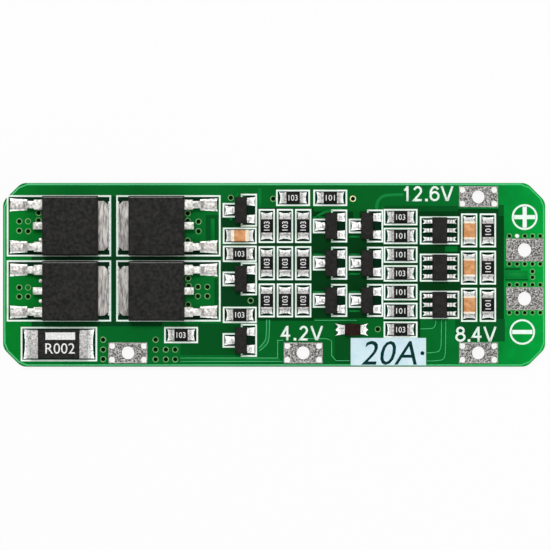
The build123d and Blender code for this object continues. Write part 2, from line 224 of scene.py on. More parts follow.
# %% The helper for finishes
def finish(name, low, high, patch, rough, grain=0.1, depth=0.2, metal=0.0, gloss=0.5,
           spread=(0.35, 0.65), detail=3.0, streak=(1, 1, 1)):
    """A material whose colour wanders between two tones in patches, with a fine grain (both in mm)."""
    material = bpy.data.materials.new(name)
    material.use_nodes = True
    tree = material.node_tree
    shader = tree.nodes["Principled BSDF"]
    place = add_node(tree, "TexCoord")
    mottle = add_node(tree, "TexNoise", Scale=1 / (patch * MM), Detail=detail)
    ramp = add_node(tree, "ValToRGB")
    set_ramp(ramp, (spread[0], tint(*low)), (spread[1], tint(*high)))
    fine = add_node(tree, "TexNoise", Scale=1 / (grain * MM), Detail=2.0)
    bump = add_node(tree, "Bump", Strength=depth, Distance=grain * MM)
    pull = add_node(tree, "Mapping", Scale=streak)
    wire(place, "Object", pull, "Vector")
    wire(pull, "Vector", mottle, "Vector")
    wire(pull, "Vector", fine, "Vector")
    wire(mottle, "Fac", ramp, "Fac")
    wire(ramp, "Color", shader, "Base Color")
    wire(fine, "Fac", bump, "Height")
    wire(bump, "Normal", shader, "Normal")
    shader.inputs["Metallic"].default_value = metal
    shader.inputs["Roughness"].default_value = rough
    shader.inputs["Specular IOR Level"].default_value = gloss
    return material


print("finishes read the object's own coordinates")

# %% [markdown]
# ### The green coat
# Solder mask is a clear green lacquer. Over copper it looks light, over bare laminate it looks dark,
# so the coat gets a material for each. Two more are painted light: a pale coat is a painted highlight
# along the edges of a trace and of the board, and a dark coat is painted shade round the parts. The
# board also looks lighter at its right end, where it is lit brightest, so each material runs through
# a few tones along the board on a colour ramp: painted light.

# %% Green coat over copper and over bare laminate, with a painted highlight at edges and painted shade round parts
BOARD_HALF = 29.5
WANDER = 0.12


def green_coat(name, *tones):
    """A green lacquer with a few tones from the left end of the board to the right: painted light, lighter
    where the board is lit brighter.
    """
    material = finish(name, tones[0], tones[-1], 1.6, 0.34, grain=0.25, depth=0.03, gloss=0.02)
    tree = material.node_tree
    place = [n for n in tree.nodes if n.type == "TEX_COORD"][0]
    ramp = [n for n in tree.nodes if n.type == "VALTORGB"][0]
    mottle = [n for n in tree.nodes if n.type == "TEX_NOISE"][0]
    parts = add_node(tree, "SeparateXYZ")
    # Painted light: the colour ramp is read along X, so the coat is lighter where the board is lit
    # brighter.
    along = add_node(tree, "MapRange")
    along.inputs["From Min"].default_value = -BOARD_HALF * MM
    along.inputs["From Max"].default_value = BOARD_HALF * MM
    along.inputs["To Max"].default_value = 1 - WANDER
    drift = add_node(tree, "Math")
    drift.operation = "MULTIPLY_ADD"
    drift.inputs[1].default_value = WANDER
    wire(place, "Object", parts, 0)
    wire(parts, "X", along, "Value")
    wire(mottle, "Fac", drift, 0)
    wire(along, "Result", drift, 2)
    wire(drift, 0, ramp, "Fac")
    pace = (1 - WANDER) / (len(tones) - 1)
    set_ramp(ramp, *[(WANDER / 2 + pace * step, tint(*tone)) for step, tone in enumerate(tones)])
    return material


coat_copper = green_coat(
    "coat_over_copper", (3, 128, 42), (3, 106, 40), (4, 100, 38), (5, 108, 42), (4, 96, 35), (4, 94, 33),
    (4, 100, 38), (4, 116, 46), (3, 160, 60))
coat_bare = green_coat(
    "coat_over_laminate", (6, 68, 32), (6, 66, 30), (3, 58, 22), (3, 58, 20), (4, 66, 24))
coat_half = green_coat(
    "coat_over_thin_copper", (4, 86, 34), (4, 86, 34), (4, 76, 27), (4, 78, 29), (6, 92, 38))
# Painted shade: a coat round the parts, darker than the coat over bare laminate.
painted_shade_coat = green_coat(
    "coat_painted_shade", (3, 46, 24), (3, 42, 22), (3, 40, 20), (3, 40, 20), (4, 44, 22))
coat_trace = green_coat(
    "coat_over_trace", (8, 132, 54), (10, 126, 52), (16, 124, 54), (22, 134, 62), (12, 138, 56))
# Painted highlight: a pale coat for the lines where the coat catches the light at edges.
painted_highlight_coat = green_coat(
    "coat_painted_highlight", (96, 208, 142), (96, 204, 140), (96, 200, 140), (90, 204, 140), (70, 206, 120))
print("six green tones")

# %% Finishes of the metal, the mouldings, the chips and the print
tin_dull = finish("tin_pad", (44, 42, 41), (198, 196, 192), 0.17, 0.46, grain=0.12, depth=0.5, metal=0.4,
                  spread=(0.4, 0.68), detail=4.0)
tin_lead = finish("tin_lead", (160, 157, 154), (232, 232, 230), 0.3, 0.36, grain=0.12, depth=0.3,
                  metal=0.5, spread=(0.3, 0.6), detail=4.0)
tin_arm = finish("tin_arm", (130, 128, 124), (224, 224, 218), 0.3, 0.38, grain=0.12, depth=0.35,
                 metal=0.5, spread=(0.3, 0.62), detail=4.0)
tin_foot = finish("tin_foot", (126, 121, 119), (224, 220, 216), 0.26, 0.4, grain=0.14, depth=0.35,
                  metal=0.5, spread=(0.3, 0.62), detail=4.0)
tin_tab = finish("tin_tab", (104, 100, 97), (212, 208, 204), 0.16, 0.5, depth=0.4, metal=0.3,
                 spread=(0.34, 0.66), detail=5.0, streak=(1, 0.16, 1))
tin_cap = finish("tin_cap", (122, 120, 118), (208, 206, 203), 0.2, 0.45, depth=0.3, metal=0.3,
                 spread=(0.34, 0.66), detail=4.0)
solder_bright = finish("solder_bright", (150, 150, 148), (255, 255, 254), 0.22, 0.3, grain=0.3, depth=0.4,
                       metal=0.25, spread=(0.34, 0.46), detail=4.0)
black_mould = finish("black_moulding", (22, 22, 21), (46, 45, 44), 0.35, 0.62, grain=0.05, depth=0.4,
                     gloss=0.1, detail=6.0)
# Painted highlight: a lighter finish for the moulding's top edges that face the key lamp.
mould_painted_highlight = finish("moulding_painted_highlight", (96, 96, 94), (134, 134, 132), 0.3, 0.5, grain=0.06, depth=0.3,
                    gloss=0.3)
small_mould = finish("small_black_moulding", (26, 26, 24), (40, 39, 37), 0.4, 0.6, grain=0.05, depth=0.5,
                     gloss=0.1)
resistor_coat = finish("resistor_coat", (9, 9, 10), (20, 19, 20), 0.2, 0.45, grain=0.08, gloss=0.08)
alumina = finish("alumina", (206, 212, 206), (240, 242, 238), 0.3, 0.55, grain=0.05)
ceramic_brown = finish("capacitor_ceramic", (188, 124, 66), (224, 164, 112), 0.6, 0.45, grain=0.06,
                       gloss=0.3)
cream_end = finish("capacitor_end", (238, 220, 194), (254, 246, 232), 0.3, 0.5, grain=0.06, gloss=0.3)
dark_ceramic = finish("dark_ceramic", (14, 11, 9), (50, 26, 20), 0.2, 0.5, grain=0.06, depth=0.3,
                      gloss=0.06)
white_ink = finish("white_print", (228, 252, 236), (250, 255, 252), 0.3, 0.6, depth=0.15, gloss=0.1)
pale_ink = finish("rating_block", (200, 226, 236), (216, 238, 246), 1.2, 0.6, grain=0.2, depth=0.1,
                  gloss=0.2)
dark_ink = finish("dark_letters", (3, 46, 44), (8, 60, 56), 0.5, 0.5, depth=0.1, gloss=0.02)
code_ink = finish("chip_code", (216, 218, 216), (250, 250, 248), 0.2, 0.6, grain=0.05, depth=0.1)
laminate_side = finish("laminate_side", (112, 146, 88), (172, 188, 128), 0.2, 0.7, grain=0.08, depth=0.4)
plating = finish("hole_plating", (136, 142, 96), (226, 228, 176), 0.2, 0.4, metal=0.6)
bare_tin = finish("bare_ring", (196, 190, 130), (248, 244, 206), 0.2, 0.4, metal=0.3)
ring_green = finish("via_ring", (96, 160, 96), (160, 204, 140), 0.3, 0.4, depth=0.1, gloss=0.3)
print(len(bpy.data.materials), "materials")

# %% [markdown]
# ## Helpers for modelling
# The frame's nodes are selected when they are loaded, and an operator acts on all that is selected, so
# each step starts by letting everything go. A piece is always modelled in millimetres round the
# origin, and its place ends up in its mesh, as in the frame's own nodes.

# %% Select, add a block, add a drum
def let_go():
    """Leaves edit mode and deselects everything."""
    if bpy.context.object and bpy.context.object.mode == "EDIT":
        bpy.ops.object.mode_set(mode="OBJECT")
    bpy.ops.object.select_all(action="DESELECT")


def take(*pieces):
    """Selects these pieces only, and makes the first one active."""
    let_go()
    for piece in pieces:
        piece.select_set(True)
    bpy.context.view_layer.objects.active = pieces[0]


def settle(piece, name, material):
    """Puts a piece's place into its mesh, names it and gives it its finish."""
    take(piece)
    bpy.ops.object.transform_apply(location=True, rotation=True, scale=True)
    piece.name = name
    piece.data.name = name
    if material is not None:
        piece.data.materials.clear()
        piece.data.materials.append(material)
    return piece


def block(name, centre, size, material):
    """A block from its centre and its size, in millimetres."""
    let_go()
    bpy.ops.mesh.primitive_cube_add(size=1, location=[c * MM for c in centre], scale=[s * MM for s in size])
    return settle(bpy.context.object, name, material)


def drum(name, place, radius, bottom, top, material, sides=32):
    """A round drum that stands at a place, in millimetres."""
    let_go()
    x, y = place
    bpy.ops.mesh.primitive_cylinder_add(vertices=sides, radius=radius * MM, depth=(top - bottom) * MM,
                                        location=(x * MM, y * MM, (top + bottom) / 2 * MM))
    return settle(bpy.context.object, name, material)


print("blocks and drums")

# %% Soften edges, join, cut, unite and copy
def soften(piece, width, segments=2, angle=35):
    """Rounds the sharp edges of a piece and shades it smooth up to that angle."""
    take(piece)
    bevel = piece.modifiers.new("soft_edges", "BEVEL")
    bevel.width = width * MM
    bevel.segments = segments
    bevel.limit_method = "ANGLE"
    bevel.angle_limit = math.radians(angle)
    bpy.ops.object.modifier_apply(modifier=bevel.name)
    bpy.ops.object.shade_smooth_by_angle(angle=math.radians(angle))
    return piece


def join(name, *pieces):
    """Joins pieces into the first one, which keeps all their finishes."""
    take(*pieces)
    if len(pieces) > 1:
        bpy.ops.object.join()
    pieces[0].name = name
    pieces[0].data.name = name
    return pieces[0]


def discard(*pieces):
    """Deletes pieces that have served, such as masters and cutters."""
    for piece in pieces:
        bpy.data.objects.remove(piece)


def combine(piece, other, operation):
    """Applies a boolean with another piece, and then deletes the other one."""
    take(piece)
    boolean = piece.modifiers.new("boolean", "BOOLEAN")
    boolean.operation = operation
    boolean.solver = "EXACT"
    boolean.object = other
    bpy.ops.object.modifier_apply(modifier=boolean.name)
    discard(other)
    return piece


def cut(piece, cutter):
    """Takes the cutter's shape out of a piece."""
    return combine(piece, cutter, "DIFFERENCE")


def unite(piece, other):
    """Unites two overlapping pieces into one closed shape."""
    return combine(piece, other, "UNION")


def copy_to(master, name, x, y, turn=0):
    """A copy of a master piece, with its own mesh, turned and moved to a place in millimetres."""
    take(master)
    bpy.ops.object.duplicate()
    piece = bpy.context.object
    piece.location = (x * MM, y * MM, 0)
    piece.rotation_euler = (0, 0, math.radians(turn))
    return settle(piece, name, None)


def install(piece, slot, *nodes):
    """Makes a piece ride on the board and stand for its nodes, which are hidden; the slot is not used."""
    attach(piece, "root")
    if nodes:
        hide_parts(*nodes)
    return piece


print("helpers ready")

# %% Read a node's place
def spot(node):
    """The middle of a node in millimetres, and 90 where it lies across the board."""
    low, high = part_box(node)
    middle = (low + high) / 2 / MM
    size = (high - low) / MM
    return middle.x, middle.y, 0 if size.x > size.y else 90


names = sorted(frame["nodes"])
resistors = [n for n in names if "resistor" in n]
capacitors = [n for n in names if "capacitor" in n]
monitors = [n for n in names if n.startswith("cell_monitor")]
power_sets = [n.removesuffix("_body") for n in names if n.startswith("power") and n.endswith("_body")]
small_parts = [n for n in names if "transistor" in n and not n.startswith("power")]
pads = [n for n in names if n.startswith("pad_")]
POWER_MIDDLE = sum(spot(part + "_body")[0] for part in power_sets) / len(power_sets)


def power_spot(part):
    """The middle of a power transistor's moulding, and the side of X to which its tab points."""
    x, y, _ = spot(part + "_body")
    return x, y, 1 if x < POWER_MIDDLE else -1


print(len(resistors), "resistors", len(capacitors), "capacitors", len(small_parts), "small transistors")

# %% [markdown]
# ## The floor
# The photo's background is plain white. The floor gives that white to the camera by itself, whatever
# the lamps do, and mixes in a little of a real white surface so that the board still has a shadow.

# %% A plain pale floor
FLOOR_GLOW = 0.9
bpy.ops.mesh.primitive_plane_add(size=2.0)
floor = bpy.context.object
floor.name = "floor"
floor_white = bpy.data.materials.new("floor_white")
floor_white.use_nodes = True
tree = floor_white.node_tree
shader = tree.nodes["Principled BSDF"]
shader.inputs["Base Color"].default_value = (0.85, 0.85, 0.85, 1)
shader.inputs["Roughness"].default_value = 0.9
glow = add_node(tree, "Emission")
path = add_node(tree, "LightPath")
share = add_node(tree, "Math")
share.operation = "MULTIPLY"
share.inputs[1].default_value = FLOOR_GLOW
blend = add_node(tree, "MixShader")
wire(path, "Is Camera Ray", share, 0)
wire(share, 0, blend, "Fac")
wire(shader, 0, blend, 1)
wire(glow, 0, blend, 2)
wire(blend, 0, tree.nodes["Material Output"], "Surface")
floor.data.materials.append(floor_white)
floor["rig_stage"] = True
print("floor", floor.dimensions[:])

# %% [markdown]
# ## The laminate
# The board is cut from a sheet of glass and epoxy, with its four corners chipped off. It could keep
# the node's mesh, but the node's small holes have only a few sides to stay light. So it is modelled
# again as by hand: a block, its upright edges bevelled into the chipped corners and then rounded, and
# one boolean cut with all the drums that stand for the drills.

# %% Block with chipped corners
low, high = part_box("circuit_board")
length, width = (high.x - low.x) / MM, (high.y - low.y) / MM
CORNER_CUT = 2.0
CORNER_ROUND = 0.5
laminate = block("laminate", (0, 0, BOARD_TOP / 2), (length, width, BOARD_TOP), coat_copper)


def bevel_uprights(piece, offset, segments):
    """Bevels every edge of a piece that stands upright."""
    take(piece)
    bpy.ops.object.mode_set(mode="EDIT")
    bpy.ops.mesh.select_mode(type="EDGE")
    bpy.ops.mesh.select_all(action="DESELECT")
    bpy.ops.object.mode_set(mode="OBJECT")
    for edge in piece.data.edges:
        first, second = [piece.data.vertices[v].co for v in edge.vertices]
        edge.select = abs(first.z - second.z) > 0.5 * MM
    bpy.ops.object.mode_set(mode="EDIT")
    bpy.ops.mesh.bevel(offset=offset * MM, segments=segments)
    bpy.ops.object.mode_set(mode="OBJECT")


bevel_uprights(laminate, CORNER_CUT, 1)
bevel_uprights(laminate, CORNER_ROUND, 4)
print("laminate outline has", len(laminate.data.vertices) // 2, "corners")

# %% [markdown]
# ### Holes
# The wire holes and the corner holes of the pads go right through. The vias stop just short of the
# underside, and the laminate left at the bottom of each takes the dark coat: painted shade, which keeps
# them dark from above where the pale floor would show through. The places of the vias are read from
# the photo.

# %% Where the holes are
WIRE_HOLES = {"tap": 0.7, "output": 0.75}
BARREL_WALL = 0.06
CORNER_HOLE = 0.34
VIA_HOLE = 0.23
OUTPUT_VIA_HOLE = 0.19
TAP_REACH = (1.74, 0.76)
tap_corners = [(i * TAP_REACH[0], j * TAP_REACH[1]) for i in (-1, 1) for j in (-1, 1)]
vias = [(-27.74, 5.82), (-26.78, 4.74), (-27.74, 4.80), (-25.65, 6.74), (-25.65, 5.92),
        (-27.74, -1.38), (-27.74, -2.37), (-26.78, -2.37), (-9.41, 6.69), (-9.41, 5.89),
        (-8.24, 5.79), (-8.24, 4.74), (-9.41, 3.73), (-9.36, -0.38), (-9.31, -1.21), (-8.30, -1.31),
        (-7.27, -1.31), (-8.30, -2.33), (-7.27, -2.33), (-9.36, -3.24), (-18.61, -7.06), (-18.61, -8.14),
        (-18.61, -9.17), (-12.91, -7.06), (-12.91, -8.14), (-12.91, -9.20), (-11.79, -8.14),
        (-11.79, -9.20), (-10.77, -8.14), (-10.77, -9.20), (-4.72, 8.39), (-0.10, 8.28), (8.57, 8.28),
        (-2.56, -2.81), (11.28, -5.92)]
tented = [(-26.78, 5.82), (-26.78, -1.38)]
OUTPUT_VIA_PITCH = 0.84
OUTPUT_VIA_ROW = 1.52
output_vias = []
for pad in [p for p in pads if "output" in p]:
    x, y, _ = spot(pad)
    for row in (OUTPUT_VIA_ROW, -OUTPUT_VIA_ROW):
        output_vias += [(x + step * OUTPUT_VIA_PITCH, y + row) for step in range(-2, 3)]
output_vias += [(28.115, 0.37), (28.115, -0.27)]
mouths = [(x, y, VIA_HOLE) for x, y in vias] + [(x, y, OUTPUT_VIA_HOLE) for x, y in output_vias]
print(len(mouths), "vias")

# %% Drill the laminate in one cut
THROUGH = (-0.5, 1.5)
VIA_FLOOR = 0.08
SEAT = 0.1
TAP_LAND, TAP_UNDERSIDE, OUTPUT_LAND = (4.24, 2.28), (2.6, 2.28), (4.05, 2.5)
drills, seats = [], []
for pad in pads:
    x, y, _ = spot(pad)
    kind = "output" if "output" in pad else "tap"
    drills.append(drum("drill", (x, y), WIRE_HOLES[kind] + BARREL_WALL, *THROUGH, plating, 48))
    if kind == "tap":
        corners = [(x + i, y + j) for i, j in tap_corners]
        drills += [drum("drill", corner, CORNER_HOLE, *THROUGH, plating, 24) for corner in corners]
    underside = OUTPUT_LAND if kind == "output" else TAP_UNDERSIDE
    seats.append(block("seat", (x, y, 0), (*underside, SEAT), laminate_side))
drills += [drum("drill", (x, y), mouth, VIA_FLOOR, THROUGH[1], plating, 12) for x, y, mouth in mouths]
cut(laminate, join("drill_set", *drills))
cut(laminate, join("seat_set", *seats))
print("laminate has", len(laminate.data.polygons), "faces after the drilling")

# %% Finish the laminate's faces by where they point
FLAT, EDGE, BORE, VIA_SHADE_BOTTOM = range(4)
CORNER_ZONE = 3
laminate.data.materials.clear()
for material in (coat_copper, laminate_side, plating, coat_bare):
    laminate.data.materials.append(material)
for face in laminate.data.polygons:
    middle = face.center / MM
    to_end, to_side = length / 2 - abs(middle.x), width / 2 - abs(middle.y)
    outside = min(to_end, to_side) < 0.01 or max(to_end, to_side) < CORNER_ZONE
    if abs(face.normal.z) < 0.5:
        face.material_index = EDGE if outside else BORE
    # Painted shade: the floor of each via takes the dark coat over bare laminate.
    elif 0.06 < middle.z < 0.9:
        face.material_index = VIA_SHADE_BOTTOM
    else:
        face.material_index = FLAT
install(laminate, "laminate_green", "circuit_board")
print("laminate", [round(v / MM, 2) for v in laminate.dimensions])

# %% [markdown]
# ### Copper under the coat
# The copper is only a few hundredths of a millimetre thick, and shows through the coat as light areas
# with dark gaps between them. The gaps are flat rectangles. The traces are flat ribbons: each is drawn
# as a curve, made a mesh, and given its width with Solidify.

# %% Ribbons and patches on the laminate
SHEET = 0.012
PIERCE = (0.9, 1.1)


def ribbon(name, points, line_width, top, material, closed=False, smooth=False):
    """A flat strip of a given width that follows points in millimetres."""
    let_go()
    line = bpy.data.curves.new(name, "CURVE")
    line.dimensions = "3D"
    spline = line.splines.new("NURBS" if smooth else "POLY")
    spline.points.add(len(points) - 1)
    for point, (x, y) in zip(spline.points, points):
        point.co = (x * MM, y * MM, top * MM, 1)
    if smooth:
        spline.order_u = 3
        spline.use_endpoint_u = True
        spline.resolution_u = 6
    spline.use_cyclic_u = closed
    line.extrude = SHEET / 2 * MM
    piece = bpy.data.objects.new(name, line)
    bpy.context.scene.collection.objects.link(piece)
    take(piece)
    bpy.ops.object.convert(target="MESH")
    piece = bpy.context.object
    wall = piece.modifiers.new("width", "SOLIDIFY")
    wall.thickness = line_width * MM
    wall.offset = 0
    wall.use_even_offset = True
    bpy.ops.object.modifier_apply(modifier=wall.name)
    return settle(piece, name, material)


def patch(name, left, bottom, right, top, level, material):
    """A flat rectangle from its left, bottom, right and top edges in millimetres."""
    centre = ((left + right) / 2, (bottom + top) / 2, level)
    return block(name, centre, (right - left, top - bottom, SHEET), material)


print("ribbons and patches")

# %% Gaps and bare areas
GAP_LEVEL = BOARD_TOP
LAYER = 0.003


def field(name, areas, level, material):
    """Several flat rectangles as one piece, each pierced where a via comes up through it."""
    made = []
    for left, bottom, right, top in areas:
        piece = patch("area", left, bottom, right, top, level, material)
        for x, y, mouth in mouths:
            if left < x + mouth and x - mouth < right and bottom < y + mouth and y - mouth < top:
                cut(piece, drum("via_mouth", (x, y), mouth, *PIERCE, material, 12))
        made.append(piece)
    return install(join(name, *made), "laminate_green")


bare_areas = [
    (-26.4, 1.58, -5.85, 2.0), (-17.74, 2.0, -17.19, 8.55), (-17.74, -5.08, -17.19, 1.58),
    (-26.4, -5.6, -12.2, -5.08), (-5.75, 5.0, -1.7, 6.9), (-5.75, -4.9, -1.7, 3.2), (-5.4, 3.2, -1.7, 5.0),
    (-1.7, -5.0, 4.3, 7.3), (4.3, -4.75, 12.0, 6.9), (12.0, -6.8, 15.9, 6.9), (15.9, -4.8, 20.0, 6.9),
    (20.0, -4.8, 24.4, 7.2), (24.4, -4.8, 25.0, 6.4),
]
field("bare_areas", bare_areas, GAP_LEVEL, coat_bare)
half_areas = [
    (-10.2, -8.75, -1.8, -5.3), (6.6, -9.6, 8.32, -5.2), (12.0, 6.9, 20.0, 7.5),
    (19.7, -7.25, 25.1, -4.8), (24.4, 6.4, 25.0, 7.6), (-7.45, 3.75, -6.05, 6.5),
    (25.1, 0.5, 26.8, 0.76), (25.1, -0.64, 27.65, -0.42), (-6.5, -3.5, -6.05, -0.4),
]
field("half_areas", half_areas, GAP_LEVEL - LAYER, coat_half)
print(len(bare_areas) + len(half_areas), "areas with little or no copper")

# %% Light traces inside the bare areas
TRACE_LEVEL = BOARD_TOP + LAYER
traces = [
    ([(-0.66, -4.9), (-0.66, -6.85), (-0.98, -7.58), (-1.65, -8.12)], 0.3, True),
    ([(-10.2, -9.24), (0.6, -9.24)], 0.36, False),
    ([(14.1, 8.72), (12.6, 8.72), (11.6, 8.5), (11.15, 7.8), (11.1, 7.1)], 0.36, True),
    ([(-4.7, 5.9), (-4.7, 7.3), (-3.9, 8.9)], 0.3, True),
    ([(-1.6, 7.3), (-1.6, 9.4)], 0.42, False),
    ([(-6.72, 6.15), (-6.72, 5.85), (-6.68, 3.7)], 0.46, False),
    ([(19.3, 0.85), (16.2, 0.85)], 0.3, False),
    ([(4.6, 6.2), (5.0, 6.9), (7.4, 7.1)], 0.3, True),
    ([(25.05, 0.04), (27.6, 0.04)], 0.76, False),
]
STUB = 0.2
traces += [([(4.2, y), (5.5, y)], STUB, False) for y in (6.25, 2.2, -1.85)]
traces += [([(8.15, y), (9.35, y)], STUB, False) for y in (4.15, 2.2, 0.1, -1.85, -3.95)]
trace_pieces = [ribbon("trace", points, size, TRACE_LEVEL, coat_trace, smooth=bend)
                for points, size, bend in traces]
install(join("coated_traces", *trace_pieces), "laminate_green")
print(len(traces), "traces")

# %% [markdown]
# The coat shines palest along the edges of a trace, and these pale lines are painted highlights.
# Narrow traces show as one such line, and two of the wide ones have a line on either side.

# %% Painted highlights along the traces
LINE_LEVEL = TRACE_LEVEL + 0.002
LINE = 0.06
lines = [
    ([(6.25, -7.2), (6.25, -8.8), (6.75, -9.35), (8.2, -9.35)], False),
    ([(6.2, -7.15), (5.7, -6.95), (3.2, -6.95)], False),
    ([(18.67, -4.85), (18.67, -8.5), (18.5, -9.1), (18.1, -9.36), (16.6, -9.38)], True),
    ([(18.2, -4.85), (18.2, -7.6), (18.05, -8.2), (17.7, -8.45), (16.6, -8.5)], True),
    ([(17.6, -4.9), (17.6, -5.35), (17.4, -5.75), (17.0, -5.88), (15.9, -5.88)], True),
    ([(20.3, -3.75), (17.2, -3.75)], False),
    ([(4.4, -4.95), (9.0, -4.95)], False),
    ([(-10.2, -9.05), (0.38, -9.05), (0.38, -7.12), (1.0, -7.12)], False),
    ([(-10.2, -9.43), (0.9, -9.43)], False),
    ([(-0.49, -4.9), (-0.49, -6.9), (-0.85, -7.75), (-1.65, -8.3)], True),
    ([(-0.84, -4.9), (-0.84, -6.8), (-1.1, -7.4), (-1.65, -7.95)], True),
]
line_pieces = [ribbon("line", points, LINE, LINE_LEVEL, painted_highlight_coat, smooth=bend) for points, bend in lines]
install(join("painted_highlight_lines", *line_pieces), "laminate_green")
print(len(lines), "pale lines")

# %% Copper islands inside the bare areas
islands = [(8.6, 6.0, 9.3, 7.9), (18.6, 2.55, 19.95, 3.1)]
field("copper_islands", islands, TRACE_LEVEL, coat_copper)
print(len(islands), "islands")

# %% Painted shade: dark courts round the parts inside the printed frames
COURT_LEVEL = BOARD_TOP + 0.0065
CHIP_COURT = (1.7, 0.74)
POWER_EDGE = 2.9
TAB_COURT = 4.28
LEAD_COURT = 6.7
COURT_SIDE = 3.2
LEAD_INNER = 2.4


def around(x, y, half_x, half_y):
    """The left, bottom, right and top edges of a rectangle round a place."""
    return x - half_x, y - half_y, x + half_x, y + half_y


# Painted shade: the coat round the chips, the small parts, the power transistors' tabs and leads, and the
# shunt is painted darker where the parts' shade falls.
courts = []
for node in resistors + capacitors:
    x, y, turn = spot(node)
    courts.append(around(x, y, *(reversed(CHIP_COURT) if turn else CHIP_COURT)))
for node in monitors:
    courts.append(around(*spot(node)[:2], 2.0, 1.4))
for node in small_parts:
    x, y, _ = spot(node)
    courts += [(x - 1.85, y - 0.65, x - 0.5, y + 0.65), (x + 0.5, y - 1.65, x + 1.62, y + 1.65)]
for part in power_sets:
    x, y, side = power_spot(part)
    left, right = sorted((x + side * POWER_EDGE, x + side * TAB_COURT))
    courts.append((left, y - COURT_SIDE, right, y + COURT_SIDE))
    left, right = sorted((x - side * POWER_EDGE, x - side * LEAD_COURT))
    courts.append((left, y + LEAD_INNER, right, y + COURT_SIDE))
    courts.append((left, y - COURT_SIDE, right, y - LEAD_INNER))
courts.append(around(*spot("shunt_body")[:2], 4.05, 1.75))
field("painted_shade_courts", courts, COURT_LEVEL, painted_shade_coat)
print(len(courts), "dark courts")

# %% The painted highlight inside the outline, and one more along the top edge
INSET = 0.18
EDGE_WIDTH = 0.13
half_x, half_y = length / 2 - INSET, width / 2 - INSET
far = CORNER_CUT - INSET * (2 - math.sqrt(2)) + CORNER_ROUND
near = CORNER_CUT - INSET * (2 - math.sqrt(2)) - CORNER_ROUND * math.sqrt(0.5)
rest = CORNER_ROUND * math.sqrt(0.5)
corner = [(far, 0), (near, rest), (rest, near), (0, far)]
outline = []
for i, j in ((1, 1), (1, -1), (-1, -1), (-1, 1)):
    outline += [(i * (half_x - x), j * (half_y - y)) for x, y in corner[::i * j]]
# Painted highlight: a pale line inside the outline, where the coat's edge catches the light.
painted_edge_highlight = ribbon("painted_edge_highlight", outline, EDGE_WIDTH, TRACE_LEVEL, painted_highlight_coat, closed=True)
# Painted highlight: a second pale line along the top edge only.
TOP_HIGHLIGHT_OFFSETS = (0.07, 0.13)
bottom, top = [half_y + offset for offset in TOP_HIGHLIGHT_OFFSETS]
painted_top_highlight = patch("painted_top_highlight", far - half_x, bottom, half_x - far, top, TRACE_LEVEL, painted_highlight_coat)
install(join("painted_edge_highlight", painted_edge_highlight, painted_top_highlight), "laminate_green")
print("edge line", len(painted_edge_highlight.data.polygons), "faces")

# %% [markdown]
# ### Rings of the vias
# Each via has a ring of copper round its mouth, which shows through the coat as a pale green ring. One
# ring of each size is modelled from a flat drum whose middle is bored out, and then copied.

# %% A ring of each size, copied to every via
RING_FOOT = 0.995


def flat_ring(name, place, outer, inner, top, material):
    """A thin flat ring round a place, with softened rims."""
    ring = drum(name, place, outer, RING_FOOT, top, material, 24)
    cut(ring, drum("ring_bore", place, inner, *PIERCE, material, 24))
    return soften(ring, 0.006, 1)


wide_ring = flat_ring("wide_ring", (0, 0), 0.325, 0.262, 1.012, ring_green)
small_ring = flat_ring("small_ring", (0, 0), 0.28, 0.225, 1.012, ring_green)
rings = [copy_to(wide_ring, "ring", x, y) for x, y in vias + tented]
rings += [copy_to(small_ring, "ring", x, y) for x, y in output_vias]
discard(wide_ring, small_ring)
install(join("via_rings", *rings), "laminate_green")
print(len(rings), "rings")

# %% [markdown]
# A few vias differ from the rest. The coat has left the ring of one by the high tap bare, so its tin
# shows. One in the top row of the output pads has filled with solder, and so have three that lie half
# under the left pair of power transistors.

# %% A bare ring and the filled vias
BARE_VIA = (8.57, 8.28)
HALF_HIDDEN = [(-25.42, 3.82), (-25.42, -0.67), (-25.42, -2.87)]
install(flat_ring("bare_ring", BARE_VIA, 0.34, 0.235, 1.02, bare_tin), "tinned_pad")
top_row = max(y for x, y in output_vias)
filled_at = sorted(place for place in output_vias if place[1] == top_row)[1]
fillings = [soften(drum("filled_via", place, 0.2, 0.98, 1.03, tin_lead, 24), 0.025)
            for place in [filled_at] + HALF_HIDDEN]
install(join("filled_vias", *fillings), "solder")
print(len(fillings), "filled vias")

# %% [markdown]
# ## Tinned pads
# The wires are soldered to these six pads. Each is a rectangle of copper with a dull, mottled coat of
# tin, and its wire hole is plated. One pad of each kind is modelled: an upper land, a lower land and a
# barrel are united, the holes are cut out, and the rims are softened so that they catch the light.
# Along its border, where the green coat held it back, the tin is thinner and shines, so a narrow
# bright ribbon goes round the upper land.

# %% One pad of each kind
TIN = 0.05
RIM = 0.09
RIM_INSET = 0.02


def pad_master(name, size, lower, bore, corners):
    """A tinned pad round the origin: two lands, a barrel, its holes and its bright border."""
    piece = block(name, (0, 0, BOARD_TOP + TIN / 2), (*size, TIN), tin_dull)
    unite(piece, drum("barrel", (0, 0), bore + BARREL_WALL, 0.01, BOARD_TOP + 0.02, tin_dull, 48))
    unite(piece, block("lower_land", (0, 0, TIN / 2), (*lower, TIN), tin_dull))
    bores = [drum("bore", (0, 0), bore, *THROUGH, tin_dull, 48)]
    bores += [drum("bore", corner, CORNER_HOLE, PIERCE[0], THROUGH[1], tin_dull, 24) for corner in corners]
    cut(piece, join("bores", *bores))
    soften(piece, 0.02, 2, angle=50)
    x, y = [(side - RIM) / 2 - RIM_INSET for side in size]
    rim = ribbon("rim", [(x, y), (-x, y), (-x, -y), (x, -y)], RIM, BOARD_TOP + TIN, tin_cap, closed=True)
    return join(name, piece, rim)


tap_master = pad_master("tap_master", TAP_LAND, TAP_UNDERSIDE, WIRE_HOLES["tap"], tap_corners)
output_master = pad_master("output_master", OUTPUT_LAND, OUTPUT_LAND, WIRE_HOLES["output"], [])
print("tap pad", len(tap_master.data.polygons), "faces")

